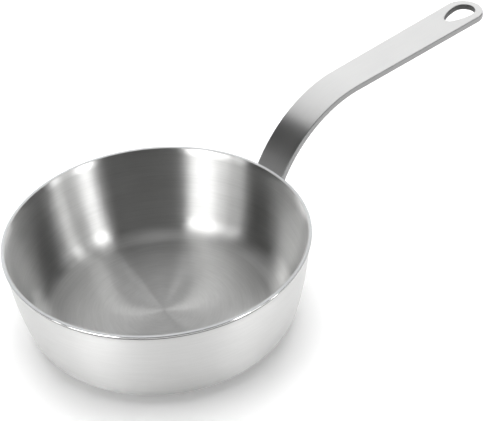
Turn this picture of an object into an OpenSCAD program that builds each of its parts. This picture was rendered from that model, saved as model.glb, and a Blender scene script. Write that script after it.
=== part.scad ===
// Small flared frying pan pressed from clad sheet, with a bent flat-bar handle.
// The pan stands on Z = 0 with its axis on Z, and the handle runs out along +X.
// Slopes are in degrees above the horizontal, read while going up or outwards.

/* [Pan] */
// Diameter over the flared lip
rim_d = 160; // [140:1:240]
// Height of the rim above the base
pan_h = 53; // [46:1:70]
// Outside radius of the corner between base and wall
corner_r = 16; // [8:0.5:22]
// Outside radius of the gently bowed wall, seen in section
wall_r = 190; // [150:5:400]
// Slope of the wall where the lip starts
wall_top_slope = 86; // [82:0.5:88]
// Outside radius of the lip's flare, seen in section
lip_r = 8; // [6:0.5:10]
// Angle that the lip turns outwards
lip_turn = 36; // [26:1:42]
// Radius on the outer edge of the ground rim
rim_edge_r = 0.5; // [0.2:0.05:0.7]

/* [Clad sheet] */
// Thickness of the stainless cooking face
inner_ply_t = 0.4; // [0.3:0.05:0.8]
// Thickness of the aluminium core
core_ply_t = 1.2; // [0.8:0.1:2.2]
// Thickness of the magnetic stainless outside
outer_ply_t = 0.4; // [0.3:0.05:0.8]

/* [Handle] */
// Distance from the pan's axis to the tip of the handle
handle_reach = 248.7; // [225:1:320]
// Height of the grip's upper face above the rim, at the tip
grip_rise = 32.9; // [26:0.5:40]
// Slope of the straight grip
grip_slope = 1; // [0:0.5:4]
// Thickness of the flat bar
strap_t = 3.5; // [2.5:0.1:4.5]
// Width of the bar beside the rim
root_w = 19.4; // [15:0.2:23]
// Width of the bar at its round tip
tip_w = 23.2; // [21:0.2:28]
// Radius of the long bend, on the underside
neck_bend_r = 68.5; // [55:0.5:80]
// Radius of the short bend beside the lip, on the underside
root_bend_r = 11.5; // [9:0.5:18]
// Gap between the bar and the lip, from the straight-down face of the neck bend
lip_gap = 0.8; // [0.5:0.1:1.5]
// Length of the foot that lies on the wall
foot_len = 26; // [20:0.5:27]
// Radius of the foot's lower corners
foot_corner_r = 6; // [3:0.5:6.5]

/* [Hanging hole] */
// Radius of the wide end, towards the tip
hole_wide_r = 6.4; // [5:0.1:7.2]
// Radius of the narrow end, towards the pan
hole_narrow_r = 3; // [2:0.1:4.5]
// Distance between the centres of the two ends
hole_pitch = 12.8; // [9:0.1:16]
// Radius of the bowed sides
hole_side_r = 30; // [22:1:60]
// Metal left between the hole and the tip
hole_margin = 4.3; // [3:0.1:7]

/* [Spot welds] */
// Diameter of a weld
weld_d = 5; // [3:0.25:6]
// Depth of a weld into the outside of the pan
weld_sink = 0.2; // [0.1:0.05:0.25]
// Depth of the electrode mark on the foot
weld_mark = 0.25; // [0.1:0.05:0.5]

/* [Hidden] */
$fn = 180;
// Overrun of every cut
over = 1;
// Step that placed centres and derived radii are rounded to
fine = 0.001;
// Tab inside a layer at each line between two arcs: its length and its share of the layer
tab_len = 0.4;
tab_share = 0.5;

// Plies, as depths below the outside of the pan
core_depth = outer_ply_t;
inner_depth = outer_ply_t + core_ply_t;
sheet_t = outer_ply_t + core_ply_t + inner_ply_t;

// Outside of the pan in section: base, corner arc, bowed wall, lip
rim_r = rim_d / 2;
rim_slope = wall_top_slope - lip_turn;
lip_rise = lip_r * (cos(rim_slope) - cos(wall_top_slope));
wall_rise_cos = (pan_h - lip_rise - corner_r + wall_r * cos(wall_top_slope)) / (wall_r - corner_r);
wall_foot_slope = acos(wall_rise_cos);
lip_c_z = pan_h - lip_r * cos(rim_slope);
edge_z = pan_h - rim_edge_r;
edge_run = sqrt(pow(lip_r + rim_edge_r, 2) - pow(edge_z - lip_c_z, 2));
edge_c = [rim_r - rim_edge_r, edge_z];
lip_c = [edge_c[0] + edge_run, lip_c_z];
wall_top = lip_c - lip_r * away(wall_top_slope);
wall_c = wall_top - wall_r * away(wall_top_slope);
wall_foot = wall_c + wall_r * away(wall_foot_slope);
corner_c = wall_foot - corner_r * away(wall_foot_slope);

// Seat of the flat bar: its pan side lies this far inside the wall's outline before it is hollowed
foot_r = fine * floor((wall_r - sagitta(root_w / 2)) / fine);
foot_dish = wall_r - foot_r;

// Handle in section: grip, long neck bend and short root bend, by their pan-side face
neck_r = neck_bend_r + strap_t;
root_r = root_bend_r + strap_t;
grip_end = [handle_reach, pan_h + grip_rise];
along_grip = [cos(grip_slope), sin(grip_slope)];
lip_pass = [rim_r + lip_gap, pan_h];
grip_to_lip = grip_end + neck_r * away(grip_slope) - lip_pass;
grip_run = grip_to_lip * along_grip;
grip_len = grip_run - sqrt(pow(neck_r, 2) + pow(grip_run, 2) - grip_to_lip * grip_to_lip);
grip_start = grip_end - grip_len * along_grip;
neck_c = grip_start + neck_r * away(grip_slope);
root_c = meet(wall_c, foot_r + root_r, neck_c, neck_r - root_r);
leave_slope = slope_of(root_c - wall_c);
neck_slope = slope_of(neck_c - root_c);

// Plan of the handle: its sides run straight and tangent into the round tip
tip_r = tip_w / 2;
tip_x = handle_reach - tip_r;
root_to_tip = [tip_x - rim_r, root_w / 2];
taper = asin(tip_r / norm(root_to_tip)) - atan2(root_to_tip[1], root_to_tip[0]);
hole_x = handle_reach - hole_margin - hole_wide_r;

// Places of the welds on the foot, as shares of its length and of the bar's width
weld_row_shares = [0.32, 0.74];
weld_side_share = 0.27;
weld_y = weld_side_share * root_w;
weld_cover = strap_t - foot_dish + sagitta(weld_y);

// Direction away from the pan, square to a line of the given slope
function away(slope) = [sin(slope), -cos(slope)];

// Slope of the line that a direction away from the pan is square to
function slope_of(v) = atan2(v[0], -v[1]);

// How far the pan's outline falls back beside its middle, where the wall is tightest
function sagitta(y) = wall_foot[0] - sqrt(pow(wall_foot[0], 2) - pow(y, 2));

// Upper crossing of two circles
function meet(c0, r0, c1, r1) =
    let (d = norm(c1 - c0))
    let (u = (c1 - c0) / d)
    let (a = (pow(r0, 2) - pow(r1, 2) + pow(d, 2)) / (2 * d))
    let (h = sqrt(max(pow(r0, 2) - pow(a, 2), 0)))
    c0 + a * u + h * [-u[1], u[0]];

// Slope of the foot at a distance above its lower end
function foot_slope(up) = leave_slope - (foot_len - up) / wall_r * 180 / PI;

// Line across a sheet at a point of its outline, longer than the sheet at both ends
function line_across(p, slope, inward, outward) =
    [p - (inward + over) * away(slope), p + (outward + over) * away(slope)];

// Line across the pan's sheet, and line across the bar
function pan_line(p, slope) = line_across(p, slope, sheet_t, 0);
function bar_line(p, slope) = line_across(p, slope, 0, strap_t);

// The same line with its ends swapped, for an arc that bends the other way
function swapped(line) = [line[1], line[0]];

// Crossing of the tangents at two points of a circle
function peak(centre, p, q) =
    let (m = (p + q) / 2 - centre)
    centre + m * pow(norm(p - centre) / norm(m), 2);

// Moves by a rounded step and then by the small rest, which keeps long moves exact
module put(p) {
    near = [for (v = p) fine * round(v / fine)];
    translate(near) translate(p - near) children();
}

// Arc of sheet between two lines across it, each given from the arc's centre outwards
module arc_band(centre, r_in, r_out, from, to) {
    intersection() {
        put(centre)
            difference() {
                circle(r_out);
                circle(r_in);
            }
        polygon([from[0], from[1], peak(centre, from[1], to[1]), to[1], to[0]]);
    }
}

// What the rim keeps: below the ground face, with its outer edge rounded
module rim_keep() {
    past_lip = edge_c + (rim_edge_r + over) * (lip_c - edge_c) / norm(lip_c - edge_c);
    difference() {
        square([rim_r + over, pan_h]);
        polygon([
            edge_c,
            past_lip,
            [rim_r + 2 * over, past_lip[1]],
            [rim_r + 2 * over, pan_h + over],
            [edge_c[0], pan_h + over]
        ]);
    }
    put(edge_c) circle(rim_edge_r);
}

// Tab inside a layer that keeps the arcs on both sides of a line across it in one piece
module tab(p, slope, outer_depth, inner_depth) {
    translate(p - (outer_depth + inner_depth) / 2 * away(slope))
        rotate(slope)
            square([tab_len, tab_share * (inner_depth - outer_depth)], center = true);
}

// One layer of the pan, between two depths below its outside
module ply(outer_depth, inner_depth) {
    base_line = pan_line([corner_c[0], 0], 0);
    foot_line = pan_line(wall_foot, wall_foot_slope);
    top_line = pan_line(wall_top, wall_top_slope);
    lip_line = pan_line([lip_c[0], lip_c[1] + lip_r], 0);
    rotate_extrude()
        intersection() {
            union() {
                translate([0, outer_depth]) square([corner_c[0], inner_depth - outer_depth]);
                arc_band(corner_c, corner_r - inner_depth, corner_r - outer_depth,
                    base_line, foot_line);
                arc_band(wall_c, wall_r - inner_depth, wall_r - outer_depth,
                    foot_line, top_line);
                arc_band(lip_c, lip_r + outer_depth, lip_r + inner_depth,
                    swapped(top_line), swapped(lip_line));
                tab([corner_c[0], 0], 0, outer_depth, inner_depth);
                tab(wall_foot, wall_foot_slope, outer_depth, inner_depth);
                tab(wall_top, wall_top_slope, outer_depth, inner_depth);
            }
            rim_keep();
        }
}

// Places its children on the pan's outside at each weld, with +Z square to the wall
module at_welds() {
    for (row_share = weld_row_shares, side = [-1, 1]) {
        slope = foot_slope(row_share * foot_len);
        place = wall_c + wall_r * away(slope);
        rotate([0, 0, asin(side * weld_y / place[0])])
            translate([place[0], 0, place[1]])
                rotate([0, 180 - slope, 0])
                    children();
    }
}

// Egg-shaped hole: two end circles, and sides that bow out tangent to both
module hanging_hole() {
    narrow = [hole_x - hole_pitch, 0];
    wide = [hole_x, 0];
    high = meet(narrow, hole_side_r - hole_narrow_r, wide, hole_side_r - hole_wide_r);
    reach = hole_side_r + over;
    for (side = [-1, 1]) {
        centre = [high[0], side * high[1]];
        past_narrow = centre + reach * unit(narrow - centre);
        past_wide = centre + reach * unit(wide - centre);
        intersection() {
            put(centre) circle(hole_side_r);
            polygon([narrow, past_narrow, peak(centre, past_narrow, past_wide), past_wide, wide]);
        }
    }
    put(narrow) circle(hole_narrow_r);
    put(wide) circle(hole_wide_r);
}

function unit(v) = v / norm(v);

// Section of the bent bar, drawn from the centre of the neck bend with +X along the grip
module bar_section() {
    neck_turn = neck_slope - grip_slope;
    leave_turn = leave_slope - grip_slope;
    foot_turn = foot_slope(-over) - grip_slope;
    root_at = -(neck_r - root_r) * away(neck_turn);
    foot_at = root_at - (foot_r + root_r) * away(leave_turn);
    grip_line = bar_line([0, neck_r], 0);
    neck_line = bar_line(-neck_r * away(neck_turn), neck_turn);
    leave_line = bar_line(foot_at + foot_r * away(leave_turn), leave_turn);
    foot_line = bar_line(foot_at + foot_r * away(foot_turn), foot_turn);
    put(neck_c)
        rotate(grip_slope) {
            translate([0, neck_bend_r]) square([grip_len + over, strap_t]);
            arc_band([0, 0], neck_bend_r, neck_r, swapped(grip_line), swapped(neck_line));
            arc_band(root_at, root_bend_r, root_r, swapped(neck_line), swapped(leave_line));
            arc_band(foot_at, foot_r, foot_r + strap_t, leave_line, foot_line);
        }
}

// Plan of the bar, up to the round tip and with the hanging hole
module bar_plan() {
    run = tip_x - corner_c[0];
    difference() {
        translate([tip_x, 0]) {
            rotate(taper) circle(tip_r);
            rotate(taper) translate([-run, 0]) square([run, tip_r]);
            rotate(-taper) translate([-run, -tip_r]) square([run, tip_r]);
        }
        hanging_hole();
    }
}

// Waste below the foot's end and outside its round corners
module foot_waste() {
    low = wall_c + wall_r * away(foot_slope(0));
    straight = root_w - 2 * foot_corner_r;
    translate([low[0], 0, low[1]])
        rotate([0, 90 - foot_slope(0), 0])
            rotate([90, 0, 90])
                linear_extrude(4 * strap_t, center = true)
                    difference() {
                        translate([-root_w, -3 * over])
                            square([2 * root_w, foot_corner_r + 3 * over]);
                        translate([-straight / 2, 0]) square([straight, foot_corner_r + over]);
                        for (side = [-1, 1])
                            translate([side * straight / 2, foot_corner_r]) circle(foot_corner_r);
                    }
}

module inner_ply() {
    color("gainsboro") ply(inner_depth, sheet_t);
}

module core_ply() {
    color("darkgray") ply(core_depth, inner_depth);
}

module outer_ply() {
    color("lightgray")
        difference() {
            ply(0, core_depth);
            at_welds() translate([0, 0, -weld_sink]) cylinder(weld_sink + over, d = weld_d);
        }
}

// Bar bent in section, cut to its plan, and hollowed at the foot to lie on the round wall
module handle_strap() {
    color("silver")
        difference() {
            intersection() {
                rotate([90, 0, 0]) linear_extrude(tip_w + 2 * over, center = true) bar_section();
                linear_extrude(pan_h + grip_rise + strap_t) bar_plan();
            }
            ply(0, sheet_t);
            foot_waste();
            at_welds() translate([0, 0, -over]) cylinder(strap_t + 2 * over, d = weld_d);
        }
}

module spot_welds() {
    color("slategray")
        at_welds() translate([0, 0, -weld_sink])
            cylinder(weld_sink + weld_cover - weld_mark, d = weld_d);
}

inner_ply();
core_ply();
outer_ply();
handle_strap();
spot_welds();
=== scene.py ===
import math

import bpy
from mathutils import Matrix, Vector
from mathutils.geometry import delaunay_2d_cdt


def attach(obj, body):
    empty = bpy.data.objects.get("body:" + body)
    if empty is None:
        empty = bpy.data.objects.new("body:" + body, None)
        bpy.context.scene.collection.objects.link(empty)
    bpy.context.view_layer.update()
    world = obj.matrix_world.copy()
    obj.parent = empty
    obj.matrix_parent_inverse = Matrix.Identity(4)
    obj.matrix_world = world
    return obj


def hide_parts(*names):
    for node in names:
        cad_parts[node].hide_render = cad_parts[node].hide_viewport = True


# Frying pan of clad sheet steel with a bent flat-bar handle.
# Lengths in the dictionaries are millimetres, but the studio's are metres, as in the meshes.

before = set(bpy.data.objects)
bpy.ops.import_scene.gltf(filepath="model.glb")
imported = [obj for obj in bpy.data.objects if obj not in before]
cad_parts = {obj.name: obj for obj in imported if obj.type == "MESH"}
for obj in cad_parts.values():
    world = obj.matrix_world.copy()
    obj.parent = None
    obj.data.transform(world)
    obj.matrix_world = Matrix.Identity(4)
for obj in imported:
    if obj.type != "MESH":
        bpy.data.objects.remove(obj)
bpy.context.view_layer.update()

mm = 0.001


def steps(a, b, count):
    return [a + (b - a) * i / count for i in range(count + 1)]


def fullTurn(count):
    # evenly spaced angles round a circle, in radians
    return [2 * math.pi * k / count for k in range(count)]


def onCircle(angle):
    return Vector((math.cos(math.radians(angle)), math.sin(math.radians(angle))))


def awayFrom(slope):
    # direction out of the pan, square to a line of this slope
    return Vector((math.sin(math.radians(slope)), -math.cos(math.radians(slope))))


def slopeOf(v):
    return math.degrees(math.atan2(v.x, -v.y))


def leftCrossing(c0, r0, c1, r1):
    # where two circles cross, on the left of the way from the first centre to the second
    d = (c1 - c0).length
    along = (c1 - c0) / d
    a = (r0 * r0 - r1 * r1 + d * d) / (2 * d)
    h = math.sqrt(max(r0 * r0 - a * a, 0.0))
    return c0 + a * along + h * Vector((-along.y, along.x))


def joinRings(rings, count):
    # quads between neighbouring rings, and triangles where a ring is one point
    faces = []
    for low, high in zip(rings, rings[1:]):
        for k in range(count):
            n = (k + 1) % count
            if len(low) == 1:
                faces.append((low[0], high[n], high[k]))
            elif len(high) == 1:
                faces.append((low[k], low[n], high[0]))
            else:
                faces.append((low[k], low[n], high[n], high[k]))
    return faces


def newObject(name, verts, faces):
    mesh = bpy.data.meshes.new(name)
    mesh.from_pydata(verts, [], faces)
    mesh.update()
    made = bpy.data.objects.new(name, mesh)
    bpy.context.scene.collection.objects.link(made)
    return made


def newPiece(name, verts, faces, body="root"):
    piece = newObject(name, verts, faces)
    piece.data.shade_smooth()
    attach(piece, body)
    return piece


# Shader nodes

noiseSpan = (0.3, 0.7)  # nearly all values of a noise lie in it
metresToMm = 1000.0
mmInUv = 100.0  # one unit of the bar's UV map
quarterTurn = 0.25


def feed(tree, value, socket):
    # numbers and colours are set on the socket, an output is linked to it
    if isinstance(value, bpy.types.NodeSocket):
        tree.links.new(value, socket)
    else:
        socket.default_value = value


def mathNode(tree, operation, *values):
    node = tree.nodes.new("ShaderNodeMath")
    node.operation = operation
    for value, socket in zip(values, node.inputs):
        feed(tree, value, socket)
    return node.outputs[0]


def times(tree, a, b):
    return mathNode(tree, "MULTIPLY", a, b)


def blend(tree, a, b, share):
    # this share of a, and the rest of b
    return mathNode(tree, "ADD", times(tree, a, share), times(tree, b, 1.0 - share))


def joinXyz(tree, *values):
    node = tree.nodes.new("ShaderNodeCombineXYZ")
    for value, socket in zip(values, node.inputs):
        feed(tree, value, socket)
    return node.outputs[0]


def splitXyz(tree, vector):
    node = tree.nodes.new("ShaderNodeSeparateXYZ")
    tree.links.new(vector, node.inputs[0])
    return node.outputs


def placeOnObject(tree):
    return tree.nodes.new("ShaderNodeTexCoord").outputs["Object"]


def noiseNode(tree, vector, w, detail, rough):
    node = tree.nodes.new("ShaderNodeTexNoise")
    node.noise_dimensions = "4D"
    for socketName, value in (("Vector", vector), ("W", w), ("Scale", 1.0), ("Detail", detail),
                              ("Roughness", rough)):
        feed(tree, value, node.inputs[socketName])
    return node.outputs["Fac"]


def mapTo(tree, value, low, high, span=noiseSpan):
    node = tree.nodes.new("ShaderNodeMapRange")
    for socketName, number in zip(("From Min", "From Max", "To Min", "To Max"), (*span, low, high)):
        node.inputs[socketName].default_value = number
    tree.links.new(value, node.inputs["Value"])
    return node.outputs["Result"]


def opaque(colour):
    return (*colour, 1.0)


def mixColour(tree, factor, a, b):
    node = tree.nodes.new("ShaderNodeMix")
    node.data_type = "RGBA"
    for socketName, value in (("Factor", factor), ("A", a), ("B", b)):
        feed(tree, value, node.inputs[socketName])
    return node.outputs["Result"]


def startGroup(name, inputs, outputs):
    group = bpy.data.node_groups.new(name, "ShaderNodeTree")
    for socketName, value in inputs:
        socket = group.interface.new_socket(name=socketName, in_out="INPUT", socket_type="NodeSocketFloat")
        socket.default_value = value
    for socketName in outputs:
        group.interface.new_socket(name=socketName, in_out="OUTPUT", socket_type="NodeSocketFloat")
    return group, group.nodes.new("NodeGroupInput").outputs, group.nodes.new("NodeGroupOutput").inputs


# Shader groups shared by several finishes

# a noise entry is its detail and its roughness
turned = {"leastRadius": 0.5, "broadPerMetre": 150.0, "broadDrift": 1.6,
          "noiseLines": (3.0, 0.6), "noiseBroad": (2.0, 0.5)}


def turnedNoise(group, place, scale, drift, detailAndRough):
    radius, z, cosA, sinA = place
    vector = joinXyz(group, times(group, radius, scale), times(group, z, scale), times(group, cosA, drift))
    return noiseNode(group, vector, times(group, sinA, drift), *detailAndRough)


def buildTurnedLines():
    # fine rings left by turning or polishing round the pan's axis
    t = turned
    group, given, made = startGroup("turnedLines", [("Pitch", 0.6), ("Drift", 3.0)], ["Lines", "Broad"])
    x, y, z = splitXyz(group, placeOnObject(group))
    radius = mathNode(group, "SQRT", mathNode(group, "ADD", times(group, x, x), times(group, y, y)))
    safeRadius = mathNode(group, "MAXIMUM", radius, t["leastRadius"] * mm)
    cosA = mathNode(group, "DIVIDE", x, safeRadius)
    sinA = mathNode(group, "DIVIDE", y, safeRadius)
    perMetre = mathNode(group, "DIVIDE", metresToMm, given["Pitch"])
    place = (radius, z, cosA, sinA)
    lines = turnedNoise(group, place, perMetre, given["Drift"], t["noiseLines"])
    broad = turnedNoise(group, place, t["broadPerMetre"], t["broadDrift"], t["noiseBroad"])
    group.links.new(lines, made["Lines"])
    group.links.new(broad, made["Broad"])
    return group


ground = {"broadAlong": 4.0, "broadAcross": 9.0, "broadSeed": 3.0,
          "noiseGrain": (3.0, 0.65), "noiseBroad": (2.0, 0.5)}


def buildBarGrain():
    # belt-ground grain that follows the bar; u of the UV map runs along it and v across
    g = ground
    group, given, made = startGroup("barGrain", [("Pitch", 0.35), ("Length", 30.0)], ["Grain", "Broad"])
    uv = group.nodes.new("ShaderNodeUVMap")
    uv.uv_map = "barMap"
    u, v, _ = splitXyz(group, uv.outputs[0])
    along = mathNode(group, "DIVIDE", times(group, u, mmInUv), given["Length"])
    across = mathNode(group, "DIVIDE", times(group, v, mmInUv), given["Pitch"])
    grain = noiseNode(group, joinXyz(group, along, across, 0.0), 0.0, *g["noiseGrain"])
    broadPlace = joinXyz(group, times(group, u, g["broadAlong"]), times(group, v, g["broadAcross"]), 0.0)
    broad = noiseNode(group, broadPlace, g["broadSeed"], *g["noiseBroad"])
    group.links.new(grain, made["Grain"])
    group.links.new(broad, made["Broad"])
    return group


handling = {"patchSeed": 1.7, "noisePatches": (3.0, 0.55), "scratchSeed": 5.1, "noiseScratches": (1.0, 0.5),
            "scratchTurn": (0.4, 0.9, 0.5), "scratchesPerMetre": (60.0, 900.0, 700.0),
            "scratchSpan": (0.70, 0.80)}


def buildHandlingMarks():
    # soft uneven patches and short stray scratches from handling
    h = handling
    group, given, made = startGroup("handlingMarks", [("Patch Size", 14.0)], ["Patches", "Scratches"])
    place = placeOnObject(group)
    scaled = group.nodes.new("ShaderNodeVectorMath")
    scaled.operation = "SCALE"
    group.links.new(place, scaled.inputs[0])
    group.links.new(mathNode(group, "DIVIDE", metresToMm, given["Patch Size"]), scaled.inputs["Scale"])
    patches = noiseNode(group, scaled.outputs[0], h["patchSeed"], *h["noisePatches"])
    warp = group.nodes.new("ShaderNodeMapping")
    warp.inputs["Rotation"].default_value = h["scratchTurn"]
    warp.inputs["Scale"].default_value = h["scratchesPerMetre"]
    group.links.new(place, warp.inputs[0])
    thin = noiseNode(group, warp.outputs[0], h["scratchSeed"], *h["noiseScratches"])
    group.links.new(patches, made["Patches"])
    group.links.new(mapTo(group, thin, 0.0, 1.0, h["scratchSpan"]), made["Scratches"])
    return group


turnedLines = buildTurnedLines()
barGrain = buildBarGrain()
handlingMarks = buildHandlingMarks()
print("shader groups ready")


# Finishes: a metal's colour wanders from dark to light, and its roughness from low to high

def startMaterial(name):
    mat = bpy.data.materials.new(name)
    mat.use_nodes = True
    return mat, mat.node_tree, mat.node_tree.nodes["Principled BSDF"]


def startMetal(name):
    mat, tree, shader = startMaterial(name)
    shader.inputs["Metallic"].default_value = 1.0
    return mat, tree, shader


def placeGroup(tree, group, **values):
    node = tree.nodes.new("ShaderNodeGroup")
    node.node_tree = group
    for key, value in values.items():
        node.inputs[key.replace("_", " ")].default_value = value
    return node.outputs


def metalColour(tree, f, shade):
    return mixColour(tree, mapTo(tree, shade, 0.0, 1.0), opaque(f["dark"]), opaque(f["light"]))


def metalRoughness(tree, f, uneven):
    return mapTo(tree, uneven, f["roughLow"], f["roughHigh"])


def paintMetal(tree, shader, f, shade, uneven):
    tree.links.new(metalColour(tree, f, shade), shader.inputs["Base Color"])
    tree.links.new(metalRoughness(tree, f, uneven), shader.inputs["Roughness"])


def addBump(tree, shader, f, height):
    bump = tree.nodes.new("ShaderNodeBump")
    bump.inputs["Strength"].default_value = f["bump"]
    bump.inputs["Distance"].default_value = f["bumpDepth"] * mm
    tree.links.new(height, bump.inputs["Height"])
    tree.links.new(bump.outputs["Normal"], shader.inputs["Normal"])


def roundTheAxis(tree):
    node = tree.nodes.new("ShaderNodeTangent")
    node.direction_type = "RADIAL"
    node.axis = "Z"
    return node.outputs[0]


def alongTheBar(tree):
    node = tree.nodes.new("ShaderNodeTangent")
    node.direction_type = "UV_MAP"
    node.uv_map = "barMap"
    return node.outputs[0]


def stretchShine(tree, shader, f, tangent):
    # fine lines stretch a reflection across them
    tree.links.new(tangent, shader.inputs["Tangent"])
    shader.inputs["Anisotropic"].default_value = f["stretch"]
    shader.inputs["Anisotropic Rotation"].default_value = quarterTurn


# Pan: three plies of one pressed sheet, each spun from its own section

pan = {"rimRadius": 80.0, "height": 53.0, "cornerRadius": 16.0, "wallRadius": 190.0, "wallTopSlope": 86.0,
       "lipRadius": 8.0, "lipTurn": 36.0, "rimEdgeRadius": 0.5, "innerEdgeRound": 0.14,
       "outerPly": 0.4, "corePly": 1.2, "innerPly": 0.4}
# outerEdgeFrom is a little below the angle at which the rim's outer edge touches the lip
panMesh = {"around": 288, "floorSteps": 9, "cornerSteps": 26, "wallSteps": 18, "lipSteps": 12,
           "innerEdgeSteps": 5, "coreEdgeSteps": 8, "outerEdgeSteps": 4, "outerEdgeFrom": -40.0,
           "sharpAngle": 32.0}

cookingFaceFinish = {
    "dark": (0.48, 0.48, 0.475), "light": (0.58, 0.58, 0.575), "roughLow": 0.33, "roughHigh": 0.38,
    "linePitch": 0.9, "lineDrift": 3.0, "lineShare": 0.55, "patchSize": 22.0, "patchShare": 0.5,
    "bump": 0.5, "bumpDepth": 0.0012, "stretch": 1.0}


def finishCookingFace():
    f = cookingFaceFinish
    mat, tree, shader = startMetal("cookingFaceSteel")
    lines = placeGroup(tree, turnedLines, Pitch=f["linePitch"], Drift=f["lineDrift"])
    marks = placeGroup(tree, handlingMarks, Patch_Size=f["patchSize"])
    shade = blend(tree, lines["Lines"], lines["Broad"], f["lineShare"])
    uneven = blend(tree, marks["Patches"], lines["Broad"], f["patchShare"])
    paintMetal(tree, shader, f, shade, uneven)
    stretchShine(tree, shader, f, roundTheAxis(tree))
    addBump(tree, shader, f, lines["Lines"])
    return mat


# painted shade span and edge span are depths below the rim
outsideFinish = {
    "dark": (0.575, 0.575, 0.57), "light": (0.635, 0.635, 0.63), "roughLow": 0.38, "roughHigh": 0.44,
    "linePitch": 0.7, "lineDrift": 5.0, "lineShare": 0.6, "patchSize": 30.0, "patchShare": 0.8,
    "bump": 0.5, "bumpDepth": 0.0006, "stretch": 0.72,
    "lipPaintedShade": (0.12, 0.12, 0.12), "paintedShadeSpan": (2.3, 1.5), "edgeSpan": (1.0, 0.75),
    "edgeRoughShare": 0.36}


def finishOutside():
    f = outsideFinish
    mat, tree, shader = startMetal("outsideSatinSteel")
    lines = placeGroup(tree, turnedLines, Pitch=f["linePitch"], Drift=f["lineDrift"])
    marks = placeGroup(tree, handlingMarks, Patch_Size=f["patchSize"])
    # painted shade: a dark band just under the lip stands in for the shade and dark reflection there, and the
    # rim's edge is polished bright
    height = splitXyz(tree, placeOnObject(tree))["Z"]
    lip, edge = (mapTo(tree, height, 0.0, 1.0, [(pan["height"] - depth) * mm for depth in span])
                 for span in (f["paintedShadeSpan"], f["edgeSpan"]))
    paintedShadeBand = mathNode(tree, "SUBTRACT", lip, edge)
    shade = blend(tree, lines["Lines"], marks["Patches"], f["lineShare"])
    # the band under the lip takes the dark painted shade colour
    colour = mixColour(tree, paintedShadeBand, metalColour(tree, f, shade), opaque(f["lipPaintedShade"]))
    tree.links.new(colour, shader.inputs["Base Color"])
    uneven = blend(tree, marks["Patches"], marks["Scratches"], f["patchShare"])
    gloss = mapTo(tree, edge, 1.0, f["edgeRoughShare"], (0.0, 1.0))
    tree.links.new(times(tree, metalRoughness(tree, f, uneven), gloss), shader.inputs["Roughness"])
    stretchShine(tree, shader, f, roundTheAxis(tree))
    addBump(tree, shader, f, lines["Lines"])
    return mat


coreFinish = {
    "dark": (0.52, 0.53, 0.54), "light": (0.64, 0.65, 0.66), "roughLow": 0.30, "roughHigh": 0.40,
    "linePitch": 0.25, "lineDrift": 30.0, "bump": 0.4, "bumpDepth": 0.002}


def finishCoreEdge():
    # ground edge of the aluminium core, greyer and duller than the steel on both sides of it
    f = coreFinish
    mat, tree, shader = startMetal("coreAluminium")
    lines = placeGroup(tree, turnedLines, Pitch=f["linePitch"], Drift=f["lineDrift"])
    paintMetal(tree, shader, f, lines["Lines"], lines["Broad"])
    addBump(tree, shader, f, lines["Lines"])
    return mat


rimSlope = pan["wallTopSlope"] - pan["lipTurn"]
lipCentreZ = pan["height"] - pan["lipRadius"] * math.cos(math.radians(rimSlope))
edgeCentre = Vector((pan["rimRadius"] - pan["rimEdgeRadius"], pan["height"] - pan["rimEdgeRadius"]))
edgeRun = math.sqrt((pan["lipRadius"] + pan["rimEdgeRadius"]) ** 2 - (edgeCentre.y - lipCentreZ) ** 2)
lipCentre = Vector((edgeCentre.x + edgeRun, lipCentreZ))
wallTop = lipCentre - pan["lipRadius"] * awayFrom(pan["wallTopSlope"])
wallCentre = wallTop - pan["wallRadius"] * awayFrom(pan["wallTopSlope"])
wallFootSlope = math.degrees(math.acos(
    (wallCentre.y - pan["cornerRadius"]) / (pan["wallRadius"] - pan["cornerRadius"])))
wallFoot = wallCentre + pan["wallRadius"] * awayFrom(wallFootSlope)
cornerCentre = wallFoot - pan["cornerRadius"] * awayFrom(wallFootSlope)
faceDepth = pan["outerPly"] + pan["corePly"] + pan["innerPly"]
coreDepth = faceDepth - pan["innerPly"]
skinDepth = pan["outerPly"]


def lipSlopeAt(depth, height):
    return math.degrees(math.acos((height - lipCentre.y) / (pan["lipRadius"] + depth)))


def panSection(depth, height):
    # section of the surface at a depth below the outside, from the axis to a height on the lip
    points = [Vector((r, depth)) for r in steps(0.0, cornerCentre.x, panMesh["floorSteps"])]
    for s in steps(0.0, wallFootSlope, panMesh["cornerSteps"])[1:]:
        points.append(cornerCentre + (pan["cornerRadius"] - depth) * awayFrom(s))
    for s in steps(wallFootSlope, pan["wallTopSlope"], panMesh["wallSteps"])[1:]:
        points.append(wallCentre + (pan["wallRadius"] - depth) * awayFrom(s))
    for s in steps(pan["wallTopSlope"], lipSlopeAt(depth, height), panMesh["lipSteps"])[1:]:
        points.append(lipCentre - (pan["lipRadius"] + depth) * awayFrom(s))
    return points


def edgePoint(angle):
    return edgeCentre + pan["rimEdgeRadius"] * onCircle(angle)


def edgeAngleAt(depth):
    # where the rounded outer edge reaches this depth below the outside of the lip
    p = leftCrossing(edgeCentre, pan["rimEdgeRadius"], lipCentre, pan["lipRadius"] + depth) - edgeCentre
    return math.degrees(math.atan2(p.y, p.x))


def roundCorner(before, corner, after, size):
    # small rounding between two straight runs
    a = corner + (before - corner).normalized() * size
    b = corner + (after - corner).normalized() * size
    return [a.lerp(corner, t).lerp(corner.lerp(b, t), t) for t in steps(0.0, 1.0, panMesh["innerEdgeSteps"])]


def spin(name, section, material):
    # closed body of revolution from a section that starts and ends on the axis
    verts = []
    rings = []
    for p in section:
        angles = fullTurn(panMesh["around"]) if p.x > 0.0 else [0.0]
        rings.append(list(range(len(verts), len(verts) + len(angles))))
        verts += [(p.x * mm * math.cos(a), p.x * mm * math.sin(a), p.y * mm) for a in angles]
    piece = newPiece(name, verts, joinRings(rings, panMesh["around"]))
    piece.data.set_sharp_from_angle(angle=math.radians(panMesh["sharpAngle"]))
    piece.data.materials.append(material)
    return piece


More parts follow.
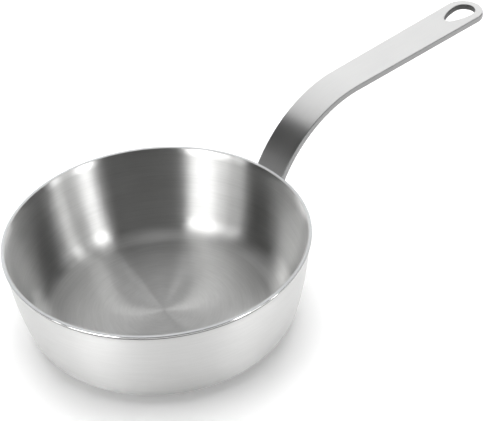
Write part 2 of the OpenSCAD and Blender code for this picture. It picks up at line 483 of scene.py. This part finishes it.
edgeStart = panMesh["outerEdgeFrom"]
skinAngle = edgeAngleAt(skinDepth)
faceLine = panSection(faceDepth, pan["height"])
coreLine = panSection(coreDepth, pan["height"])
skinLine = panSection(skinDepth, edgePoint(skinAngle).y)
outsideLine = panSection(0.0, edgePoint(edgeStart).y)
innerEdge = roundCorner(faceLine[-2], faceLine[-1], coreLine[-1], pan["innerEdgeRound"])
coreEdge = [edgePoint(a) for a in steps(skinAngle, 90.0, panMesh["coreEdgeSteps"])]
outerEdge = [edgePoint(a) for a in steps(edgeStart, skinAngle, panMesh["outerEdgeSteps"])]

# each section runs out along the ply's lower line, over the rim and back along the upper line
cookingFace = spin("cookingFace", coreLine + innerEdge[::-1] + faceLine[-2::-1],
                   finishCookingFace())
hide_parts("inner_ply")
corePly = spin("coreSheet", skinLine + coreEdge[1:] + coreLine[::-1], finishCoreEdge())
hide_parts("core_ply")
outsideFace = spin("outsideSkin", outsideLine + outerEdge[1:] + skinLine[-2::-1], finishOutside())
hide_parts("outer_ply")
print("pan spun:", len(cookingFace.data.vertices), len(corePly.data.vertices), len(outsideFace.data.vertices))


def outsideRadius(z):
    # radius of the pan's outside at a height on the wall or the lip
    if z < wallTop.y:
        return wallCentre.x + math.sqrt(pan["wallRadius"] ** 2 - (z - wallCentre.y) ** 2)
    if z < edgeCentre.y:
        return lipCentre.x - math.sqrt(max(pan["lipRadius"] ** 2 - (z - lipCentre.y) ** 2, 0.0))
    return pan["rimRadius"]


# Handle: a flat bar, laid out flat and then bent along its section

handle = {"reach": 248.7, "gripRise": 32.9, "gripSlope": 1.0, "thickness": 3.5, "rootWidth": 19.4,
          "tipWidth": 23.2, "neckBend": 68.5, "rootBend": 11.5, "lipGap": 0.8, "footLength": 26.0,
          "footCorner": 6.0, "seatGap": 0.01, "edgeRound": 0.45, "holeEdgeRound": 0.5, "holeWide": 6.4,
          "holeNarrow": 3.0, "holePitch": 12.8, "holeSide": 30.0, "holeMargin": 4.3}
# the dish is the pressed face of a weld mark: shares of its radius, and depths past the sink there
weld = {"diameter": 5.0, "gap": 0.01, "sink": 0.25, "edgeRound": 0.3, "endHeight": 0.9, "sides": 28,
        "rowShares": (0.32, 0.74), "sideShare": 0.27,
        "dishShares": (0.0, 0.35, 0.62, 0.80, 0.90, 0.97, 1.0),
        "dishDepths": (0.22, 0.20, 0.11, 0.02, 0.0, 0.04, 0.12)}
# places spread inner points over the flat faces, and the cut's metal starts at a step of the rounding
handleMesh = {"footCornerSteps": 10, "footSteps": 10, "rootSteps": 14, "neckSteps": 44, "gripSteps": 22,
              "tipSteps": 26, "edgeSteps": 5, "cutFrom": 3, "slantProbe": 0.05,
              "holeWideSteps": 14, "holeSideSteps": 10, "holeNarrowSteps": 12,
              "cornerPlaces": (1.6, 3.4), "tipPlaces": 6, "tipMargin": 2.0, "sideMargin": 0.3,
              "holeClear": 0.9, "acrossShares": (-0.82, -0.6, -0.36, -0.12, 0.12, 0.36, 0.6, 0.82),
              "sideShift": 40.0, "uprightBelow": 0.5}

handleFinish = {
    "dark": (0.63, 0.63, 0.63), "light": (0.68, 0.68, 0.675), "roughLow": 0.285, "roughHigh": 0.325,
    "grainPitch": 0.4, "grainLength": 26.0, "grainShare": 0.7, "patchSize": 16.0,
    "bump": 0.5, "bumpDepth": 0.0012, "stretch": 0.25}


def finishHandle():
    f = handleFinish
    mat, tree, shader = startMetal("handleBrushedSteel")
    grain = placeGroup(tree, barGrain, Pitch=f["grainPitch"], Length=f["grainLength"])
    marks = placeGroup(tree, handlingMarks, Patch_Size=f["patchSize"])
    shade = blend(tree, grain["Grain"], grain["Broad"], f["grainShare"])
    paintMetal(tree, shader, f, shade, marks["Patches"])
    stretchShine(tree, shader, f, alongTheBar(tree))
    addBump(tree, shader, f, grain["Grain"])
    return mat


# painted shade: the bar's cut sides are coloured darker than its faces for the shade they fall in
sidePaintedShadeFinish = {
    "dark": (0.28, 0.28, 0.28), "light": (0.35, 0.35, 0.35), "roughLow": 0.34, "roughHigh": 0.44,
    "grainPitch": 0.5, "grainLength": 9.0, "patchSize": 7.0, "bump": 0.4, "bumpDepth": 0.003}
# painted shade: the hole's wall is coloured nearly black for the shade inside the hole
holeWallPaintedShadeFinish = {
    "dark": (0.075, 0.075, 0.075), "light": (0.12, 0.12, 0.12), "roughLow": 0.42, "roughHigh": 0.55,
    "grainPitch": 0.6, "grainLength": 9.0, "patchSize": 7.0, "bump": 0.4, "bumpDepth": 0.003}


def finishCutEdgeWithPaintedShade(name, f):
    # edges left by blanking the bar and punching the hole, duller than the ground faces; their darker colour
    # is painted shade
    mat, tree, shader = startMetal(name)
    grain = placeGroup(tree, barGrain, Pitch=f["grainPitch"], Length=f["grainLength"])
    marks = placeGroup(tree, handlingMarks, Patch_Size=f["patchSize"])
    paintMetal(tree, shader, f, grain["Grain"], marks["Patches"])
    addBump(tree, shader, f, grain["Grain"])
    return mat


barThickness = handle["thickness"]
halfRoot = handle["rootWidth"] / 2
footSagitta = wallFoot.x - math.sqrt(wallFoot.x ** 2 - halfRoot ** 2)
micronsInMm = 1000
footRadius = math.floor((pan["wallRadius"] - footSagitta) * micronsInMm) / micronsInMm
neckRadius = handle["neckBend"] + barThickness
rootRadius = handle["rootBend"] + barThickness
gripEnd = Vector((handle["reach"], pan["height"] + handle["gripRise"]))
alongGrip = onCircle(handle["gripSlope"])
clearOfLip = Vector((pan["rimRadius"] + handle["lipGap"], pan["height"]))
toLip = gripEnd + neckRadius * awayFrom(handle["gripSlope"]) - clearOfLip
gripLength = toLip.dot(alongGrip) - math.sqrt(neckRadius ** 2 + toLip.dot(alongGrip) ** 2 - toLip.dot(toLip))
gripStart = gripEnd - gripLength * alongGrip
neckCentre = gripStart + neckRadius * awayFrom(handle["gripSlope"])
rootCentre = leftCrossing(wallCentre, footRadius + rootRadius, neckCentre, neckRadius - rootRadius)
leaveSlope = slopeOf(rootCentre - wallCentre)
neckSlope = slopeOf(neckCentre - rootCentre)
footSlope = leaveSlope - math.degrees(handle["footLength"] / pan["wallRadius"])

# distances along the bar where the root bend, the neck bend, the straight grip and the end are
rootU = footRadius * math.radians(leaveSlope - footSlope)
neckU = rootU + rootRadius * math.radians(leaveSlope - neckSlope)
gripU = neckU + neckRadius * math.radians(neckSlope - handle["gripSlope"])
endU = gripU + gripLength

# the sides run straight in plan from the rim to where they touch the round tip
tipRadius = handle["tipWidth"] / 2
tipX = handle["reach"] - tipRadius - barThickness * math.sin(math.radians(handle["gripSlope"]))
tipRun = tipX - pan["rimRadius"]
taper = math.asin(tipRadius / math.hypot(tipRun, halfRoot)) - math.atan2(halfRoot, tipRun)


def barPlace(u):
    # pan-side face of the bar at a distance along it, and its slope there
    if u < rootU:
        s = footSlope + math.degrees(u / footRadius)
        return wallCentre + footRadius * awayFrom(s), s
    if u < neckU:
        s = leaveSlope - math.degrees((u - rootU) / rootRadius)
        return rootCentre - rootRadius * awayFrom(s), s
    if u < gripU:
        s = neckSlope - math.degrees((u - neckU) / neckRadius)
        return neckCentre - neckRadius * awayFrom(s), s
    return gripStart + (u - gripU) * alongGrip, handle["gripSlope"]


def runAt(x):
    # distance along the bar of a place on the straight grip
    return gripU + (x - gripStart.x) / alongGrip.x


def halfWidth(u):
    return halfRoot + math.tan(taper) * (barPlace(u)[0].x - pan["rimRadius"])


tipU = runAt(tipX)
sideEndU = tipU - tipRadius * math.sin(taper)
# places along the bar between the foot's corners and the round tip
stations = steps(handle["footCorner"], rootU, handleMesh["footSteps"])[1:]
stations += steps(rootU, neckU, handleMesh["rootSteps"])[1:]
stations += steps(neckU, gripU, handleMesh["neckSteps"])[1:]
stations += steps(gripU, sideEndU, handleMesh["gripSteps"])[1:-1]


def mirrored(half):
    # points and normals of the other side, in reverse
    return [(Vector((p.x, -p.y)), Vector((n.x, -n.y))) for p, n in reversed(half)]


def barOutline():
    # outline of the flat bar with its outward normals, from the foot round the tip and back
    corner = handle["footCorner"]
    half = []
    for a in steps(180.0, 90.0, handleMesh["footCornerSteps"]):
        half.append((Vector((corner, halfWidth(corner) - corner)) + corner * onCircle(a), onCircle(a)))
    probe = handleMesh["slantProbe"]
    for u in stations:
        slant = math.atan2(halfWidth(u + probe) - halfWidth(u - probe), 2 * probe)
        half.append((Vector((u, halfWidth(u))), Vector((-math.sin(slant), math.cos(slant)))))
    for a in steps(90.0 + math.degrees(taper), 0.0, handleMesh["tipSteps"]):
        half.append((Vector((tipU, 0.0)) + tipRadius * onCircle(a), onCircle(a)))
    return half + mirrored(half[:-1])


def hangingHole():
    # egg-shaped hole with the narrow end towards the pan, normals pointing into the metal
    wideRadius, narrowRadius, sideRadius = handle["holeWide"], handle["holeNarrow"], handle["holeSide"]
    wide = Vector((runAt(handle["reach"] - handle["holeMargin"] - wideRadius), 0.0))
    narrow = wide - Vector((handle["holePitch"], 0.0))
    side = leftCrossing(narrow, sideRadius - narrowRadius, wide, sideRadius - wideRadius)
    low = Vector((side.x, -side.y))
    toNarrow = math.degrees(math.atan2((narrow - low).y, (narrow - low).x))
    toWide = math.degrees(math.atan2((wide - low).y, (wide - low).x))
    arcs = ((wide, wideRadius, steps(0.0, toWide, handleMesh["holeWideSteps"])),
            (low, sideRadius, steps(toWide, toNarrow, handleMesh["holeSideSteps"])[1:]),
            (narrow, narrowRadius, steps(toNarrow, 180.0, handleMesh["holeNarrowSteps"])[1:]))
    half = [(centre + r * onCircle(a), onCircle(a)) for centre, r, angles in arcs for a in angles]
    return half + mirrored(half[1:-1])


def weldPlaces():
    return [(share * rootU, side * weld["sideShare"] * handle["rootWidth"])
            for share in weld["rowShares"] for side in (-1, 1)]


def weldHole(u, v):
    normals = [Vector((math.cos(a), math.sin(a))) for a in fullTurn(weld["sides"])]
    return [(Vector((u, v)) + weld["diameter"] / 2 * n, n) for n in normals]


def edgeLevels(rounding):
    # inset, height over the pan-side face and tilt of the rings from that face to the outer one
    near = [(rounding * (1 - math.sin(math.radians(a))), rounding * (1 - math.cos(math.radians(a))), a)
            for a in steps(0.0, 90.0, handleMesh["edgeSteps"])]
    return near + [(inset, barThickness - w, 180.0 - a) for inset, w, a in reversed(near)]


def reachAt(u):
    # half the width of the flat bar, also at the foot's corners and in the round tip
    if u > tipU:
        return math.sqrt(max(tipRadius ** 2 - (u - tipU) ** 2, 0.0))
    corner = handle["footCorner"]
    if u < corner:
        return halfWidth(u) - (corner - math.sqrt(corner ** 2 - (corner - u) ** 2))
    return halfWidth(u)


def isClear(p, hole):
    # in the metal and not close to the hole, whose normals point into the metal
    q, n = min(hole, key=lambda pointAndNormal: (p - pointAndNormal[0]).length)
    return (p - q).dot(n) > 0.0 and (p - q).length > handleMesh["holeClear"]


def innerPlaces(holes):
    # places spread over the flat faces, clear of the holes
    tipPlaces = steps(sideEndU, endU - handleMesh["tipMargin"], handleMesh["tipPlaces"])[1:]
    places = []
    for u in [*handleMesh["cornerPlaces"], *stations, *tipPlaces]:
        for share in handleMesh["acrossShares"]:
            p = Vector((u, share * (reachAt(u) - handleMesh["sideMargin"])))
            if all(isClear(p, hole) for hole in holes):
                places.append(p)
    return places


def addFlatFaces(flat, normals, faces, capRings, holes):
    # adds one layout in plan to the lists for both sides; a ring's points are in them already
    plan, borders, known = [], [], []
    for near, far in capRings:
        borders.append(list(range(len(plan), len(plan) + len(near))))
        plan += [Vector(flat[i][:2]) for i in near]
        known += zip(near, far)
    plan += innerPlaces(holes)
    insideWithHoles = 2  # fills the outline and leaves the holes open
    mergeWithin = 1e-6
    found, _, triangles, origin, _, _ = delaunay_2d_cdt(plan, [], borders, insideWithHoles, mergeWithin)
    nearSide, farSide = [], []
    for p, members in zip(found, origin):
        pair = next((known[m] for m in members if m < len(known)), None)
        if pair is None:
            pair = (len(flat), len(flat) + 1)
            flat += [(p.x, p.y, 0.0), (p.x, p.y, barThickness)]
            normals += [(0.0, 0.0, -1.0), (0.0, 0.0, 1.0)]
        nearSide.append(pair[0])
        farSide.append(pair[1])
    for triangle in triangles:
        faces.append(tuple(nearSide[i] for i in triangle))
        faces.append(tuple(farSide[i] for i in reversed(triangle)))


def bendBar(flat, normals):
    verts, bentNormals = [], []
    for (u, v, w), (nu, nv, nw) in zip(flat, normals):
        p, s = barPlace(u)
        away = awayFrom(s)
        along = Vector((-away.y, away.x))
        q = p + w * away
        x, z = q.x, q.y
        # the foot is hollowed to lie on the round wall
        if w < barThickness / 2 and z < edgeCentre.y:
            seat = outsideRadius(z) + handle["seatGap"]
            if math.hypot(x, v) < seat:
                x = math.sqrt(seat ** 2 - v * v)
        verts.append((x * mm, v * mm, z * mm))
        bent = Vector((nu * along.x + nw * away.x, nv, nu * along.y + nw * away.y))
        bentNormals.append(bent.normalized())
    return verts, bentNormals


def mapBar(piece, flat, normals):
    # UV map that follows the bar; its sides take another stretch of v, so their grain differs
    layer = piece.data.uv_layers.new(name="barMap")
    for poly in piece.data.polygons:
        facing = sum(abs(normals[i][2]) for i in poly.vertices) / len(poly.vertices)
        upright = facing < handleMesh["uprightBelow"]
        for loopIndex in poly.loop_indices:
            u, v, w = flat[piece.data.loops[loopIndex].vertex_index]
            across = v + w + handleMesh["sideShift"] if upright else v
            layer.data[loopIndex].uv = (u / mmInUv, across / mmInUv)


def makeHandleBar():
    faceMetal, sideMetal, holeMetal = range(3)
    holes = [hangingHole()] + [weldHole(u, v) for u, v in weldPlaces()]
    # loop of points, sign that turns its normals into the metal, edge rounding, metal of the cut
    loops = [(barOutline(), -1.0, handle["edgeRound"], sideMetal),
             (holes[0], 1.0, handle["holeEdgeRound"], holeMetal)]
    loops += [(hole, 1.0, weld["edgeRound"], holeMetal) for hole in holes[1:]]
    flat, normals, faces, metals = [], [], [], []
    capRings = []
    for loop, inward, rounding, cutMetal in loops:
        rings = []
        for inset, w, tilt in edgeLevels(rounding):
            rings.append(list(range(len(flat), len(flat) + len(loop))))
            sideways, offFace = math.sin(math.radians(tilt)), -math.cos(math.radians(tilt))
            for p, n in loop:
                q = p + inward * inset * n
                flat.append((q.x, q.y, w))
                normals.append((-inward * n.x * sideways, -inward * n.y * sideways, offFace))
        faces += joinRings(rings, len(loop))
        # the cut's metal also covers the steep part of the rounding on both sides of it
        rounded = [faceMetal] * handleMesh["cutFrom"] * len(loop)
        cutCount = len(rings) - 1 - 2 * handleMesh["cutFrom"]
        metals += rounded + [cutMetal] * cutCount * len(loop) + rounded
        capRings.append((rings[0], rings[-1]))
    addFlatFaces(flat, normals, faces, capRings, holes)
    metals += [faceMetal] * (len(faces) - len(metals))
    verts, bentNormals = bendBar(flat, normals)
    piece = newPiece("handleBar", verts, faces)
    piece.data.normals_split_custom_set_from_vertices(bentNormals)
    mapBar(piece, flat, normals)
    piece.data.materials.append(finishHandle())
    # painted shade on the cut sides and on the hole's wall
    piece.data.materials.append(finishCutEdgeWithPaintedShade("handleSidePaintedShade", sidePaintedShadeFinish))
    piece.data.materials.append(finishCutEdgeWithPaintedShade("holeWallPaintedShade", holeWallPaintedShadeFinish))
    piece.data.polygons.foreach_set("material_index", metals)
    return piece


handleBar = makeHandleBar()
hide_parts("handle_strap")
print("handle bent:", len(handleBar.data.vertices), "leaves the wall at slope", round(leaveSlope, 2))


# Weld marks: four shallow pressed discs in the foot of the handle

weldFinish = {
    "dark": (0.40, 0.35, 0.28), "light": (0.62, 0.58, 0.50), "roughLow": 0.42, "roughHigh": 0.6,
    "patchSize": 1.4, "bump": 0.5, "bumpDepth": 0.02}


def finishWeldMark():
    # electrode mark: a dull pressed disc with a straw heat tint
    f = weldFinish
    mat, tree, shader = startMetal("weldMarkSteel")
    marks = placeGroup(tree, handlingMarks, Patch_Size=f["patchSize"])
    paintMetal(tree, shader, f, marks["Patches"], marks["Patches"])
    addBump(tree, shader, f, marks["Patches"])
    return mat


def makeWeldMarks():
    r = weld["diameter"] / 2 - weld["gap"]
    dish = zip(weld["dishShares"], weld["dishDepths"])
    profile = [(share * r, weld["sink"] + depth) for share, depth in dish]
    profile.append((r, barThickness - weld["endHeight"]))
    verts, faces = [], []
    for u, v in weldPlaces():
        p, s = barPlace(u)
        away = awayFrom(s)
        along = Vector((-away.y, away.x))
        rings = []
        for radius, depth in profile:
            angles = fullTurn(weld["sides"]) if radius > 0.0 else [0.0]
            rings.append(list(range(len(verts), len(verts) + len(angles))))
            for a in angles:
                q = p + (barThickness - depth) * away + radius * math.cos(a) * along
                verts.append((q.x * mm, (v + radius * math.sin(a)) * mm, q.y * mm))
        faces += joinRings(rings, weld["sides"])
        faces.append(tuple(rings[-1]))
    piece = newPiece("weldMarks", verts, faces)
    piece.data.materials.append(finishWeldMark())
    return piece


weldMarks = makeWeldMarks()
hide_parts("spot_welds")
print("weld marks pressed")


# Floor, lamps and camera

studio = {"floorHalf": 4.0, "floorDrop": 0.0002, "floorColour": (0.9, 0.9, 0.9), "floorRough": 0.9,
          "floorGlow": 0.2, "farGlow": 1.0, "farSpan": (0.3, 1.8),
          "tentRadius": 2.2, "tentHeight": 8.2, "tentSides": 48, "tentColour": (0.03, 0.03, 0.03),
          "tentRough": 1.0, "tentGlow": 0.035,
          "lampDistance": 1.3, "white": (1.0, 1.0, 1.0), "worldStrength": 1.0}


def startCloth(name, colour, rough):
    # dull material with a white glow, whose strength is set or linked afterwards
    mat, tree, shader = startMaterial(name)
    shader.inputs["Base Color"].default_value = opaque(colour)
    shader.inputs["Roughness"].default_value = rough
    shader.inputs["Specular IOR Level"].default_value = 0.0
    shader.inputs["Emission Color"].default_value = opaque(studio["white"])
    return mat, tree, shader


def makeFloor():
    half = studio["floorHalf"]
    verts = [(-half, -half, 0.0), (half, -half, 0.0), (half, half, 0.0), (-half, half, 0.0)]
    floor = newObject("studioFloor", verts, [(0, 1, 2, 3)])
    floor.location.z = -studio["floorDrop"]
    mat, tree, shader = startCloth("studioFloorWhite", studio["floorColour"], studio["floorRough"])
    path = tree.nodes.new("ShaderNodeLightPath").outputs
    seen = mathNode(tree, "MAXIMUM", path["Is Camera Ray"], path["Is Glossy Ray"])
    seen = mathNode(tree, "MAXIMUM", seen, path["Is Transmission Ray"])
    # away from the lamps the floor's own white takes over
    reach = tree.nodes.new("ShaderNodeVectorMath")
    reach.operation = "LENGTH"
    tree.links.new(placeOnObject(tree), reach.inputs[0])
    glow = mapTo(tree, reach.outputs["Value"], studio["floorGlow"], studio["farGlow"], studio["farSpan"])
    tree.links.new(times(tree, seen, glow), shader.inputs["Emission Strength"])
    floor.data.materials.append(mat)
    return floor


def makeTent():
    # open-topped ring of dark cloth round the lamps, which gives the steel its dark bands
    radius, count = studio["tentRadius"], studio["tentSides"]
    verts = [(radius * math.cos(a), radius * math.sin(a), z)
             for z in (0.0, studio["tentHeight"]) for a in fullTurn(count)]
    tent = newObject("darkTent", verts, joinRings([range(count), range(count, 2 * count)], count))
    tent.visible_camera = False
    mat, tree, shader = startCloth("tentCloth", studio["tentColour"], studio["tentRough"])
    shader.inputs["Emission Strength"].default_value = studio["tentGlow"]
    tent.data.materials.append(mat)
    return tent


# softboxes stand round the origin: azimuth, elevation, width and height in degrees, then a glow
# where 1 is as bright as white paper; a card shows in the steel only, and the floor lamp on dull
# surfaces only; the bright cards are for the pan, the soft ones for the handle and the rest for all
softboxes = {
    "windowRight": (193.3, 21.2, 19.0, 41.5, 9.6, "card", "pan"),
    "fillRight": (177.0, 21.2, 13.0, 41.5, 5.6, "card", "pan"),
    "streakRight": (162.0, 21.2, 6.0, 41.5, 4.5, "card", "pan"),
    "stripLeft": (283.3, 21.2, 11.2, 41.5, 10.5, "card", "pan"),
    "fillLeft": (294.0, 21.2, 9.0, 41.5, 2.0, "card", "pan"),
    "streakLeft": (309.0, 21.2, 5.0, 41.5, 7.0, "card", "pan"),
    "sideBehind": (95.0, 15.0, 14.0, 29.0, 3.2, "card", "pan"),
    "softBehind": (97.0, 12.0, 20.0, 24.0, 0.9, "card", "handle"),
    "softSide": (133.0, 17.0, 36.0, 30.0, 0.22, "card", "handle"),
    "softRight": (185.0, 21.2, 36.0, 41.5, 0.9, "card", "handle"),
    "softLeft": (300.0, 18.0, 60.0, 36.0, 0.6, "card", "handle"),
    "boxBehind": (55.0, 22.0, 56.3, 40.0, 1.15, "both", "all"),
    "lowBehind": (12.5, 10.2, 24.6, 19.5, 2.7, "both", "all"),
    "highBehind": (57.0, 54.0, 55.0, 24.0, 1.08, "both", "all"),
    "overhead": (49.5, 86.0, 48.0, 48.0, 4.3, "floor", "all"),
    "fillFront": (330.0, 54.0, 17.9, 24.0, 1.1, "card", "all")}
receivers = {"pan": [cookingFace, corePly, outsideFace], "handle": [handleBar, weldMarks]}


def makeSoftbox(name, azimuth, elevation, across, tall, glow, use, lights):
    a, e = math.radians(azimuth), math.radians(elevation)
    away = Vector((math.cos(a) * math.cos(e), math.sin(a) * math.cos(e), math.sin(e)))
    distance = studio["lampDistance"]
    light = bpy.data.lights.new(name, "AREA")
    light.shape = "RECTANGLE"
    light.size = 2 * distance * math.tan(math.radians(across) / 2)
    light.size_y = 2 * distance * math.tan(math.radians(tall) / 2)
    light.energy = math.pi * light.size * light.size_y * glow
    lamp = bpy.data.objects.new(name, light)
    lamp.location = distance * away
    lamp.rotation_euler = (-away).to_track_quat("-Z", "Y").to_euler()
    lamp.visible_camera = False
    lamp.visible_diffuse = use != "card"
    lamp.visible_glossy = use != "floor"
    bpy.context.scene.collection.objects.link(lamp)
    if lights in receivers:
        lit = bpy.data.collections.new(name + "Lit")
        for piece in receivers[lights]:
            lit.objects.link(piece)
        lamp.light_linking.receiver_collection = lit
    return lamp


def makeWorld():
    world = bpy.data.worlds.new("studioRoom")
    bpy.context.scene.world = world
    world.use_nodes = True
    background = world.node_tree.nodes["Background"]
    background.inputs["Color"].default_value = opaque(studio["white"])
    background.inputs["Strength"].default_value = studio["worldStrength"]
    return world


# camera fitted to the outlines of the rim, the base and the handle; rimPixel is the rim's centre
view = {"azimuth": -40.5, "elevation": 36.70, "roll": -3.42, "distance": 770.8, "rimPixel": (156.3, 234.1),
        "focalPixels": 1500.0, "width": 484, "height": 421, "sensorWidth": 36.0, "clipStart": 10.0}


def makeCamera():
    a, e, roll = (math.radians(view[key]) for key in ("azimuth", "elevation", "roll"))
    right = Vector((math.cos(a), math.sin(a), 0.0))
    back = Vector((math.sin(a) * math.cos(e), -math.cos(a) * math.cos(e), math.sin(e)))
    up = back.cross(right)
    rolledRight = math.cos(roll) * right + math.sin(roll) * up
    rolledUp = -math.sin(roll) * right + math.cos(roll) * up
    mmPerPixel = view["distance"] / view["focalPixels"]
    rimX, rimY = view["rimPixel"]
    offRight = (rimX - view["width"] / 2) * mmPerPixel
    offUp = (view["height"] / 2 - rimY) * mmPerPixel
    rimCentre = Vector((0.0, 0.0, pan["height"]))
    place = (rimCentre + view["distance"] * back - offRight * rolledRight - offUp * rolledUp) * mm
    lens = bpy.data.cameras.new("photoCamera")
    lens.sensor_fit = "HORIZONTAL"
    lens.sensor_width = view["sensorWidth"]
    lens.lens = view["focalPixels"] / view["width"] * view["sensorWidth"]
    lens.clip_start = view["clipStart"] * mm
    camera = bpy.data.objects.new("photoCamera", lens)
    rows = [(rolledRight[i], rolledUp[i], back[i], place[i]) for i in range(3)]
    camera.matrix_world = Matrix((*rows, (0.0, 0.0, 0.0, 1.0)))
    bpy.context.scene.collection.objects.link(camera)
    bpy.context.scene.camera = camera
    return camera


makeFloor()
makeTent()
for boxName, box in softboxes.items():
    makeSoftbox(boxName, *box)
makeWorld()
makeCamera()
bpy.context.scene.view_settings.view_transform = "Standard"
print("floor, lamps and camera placed")
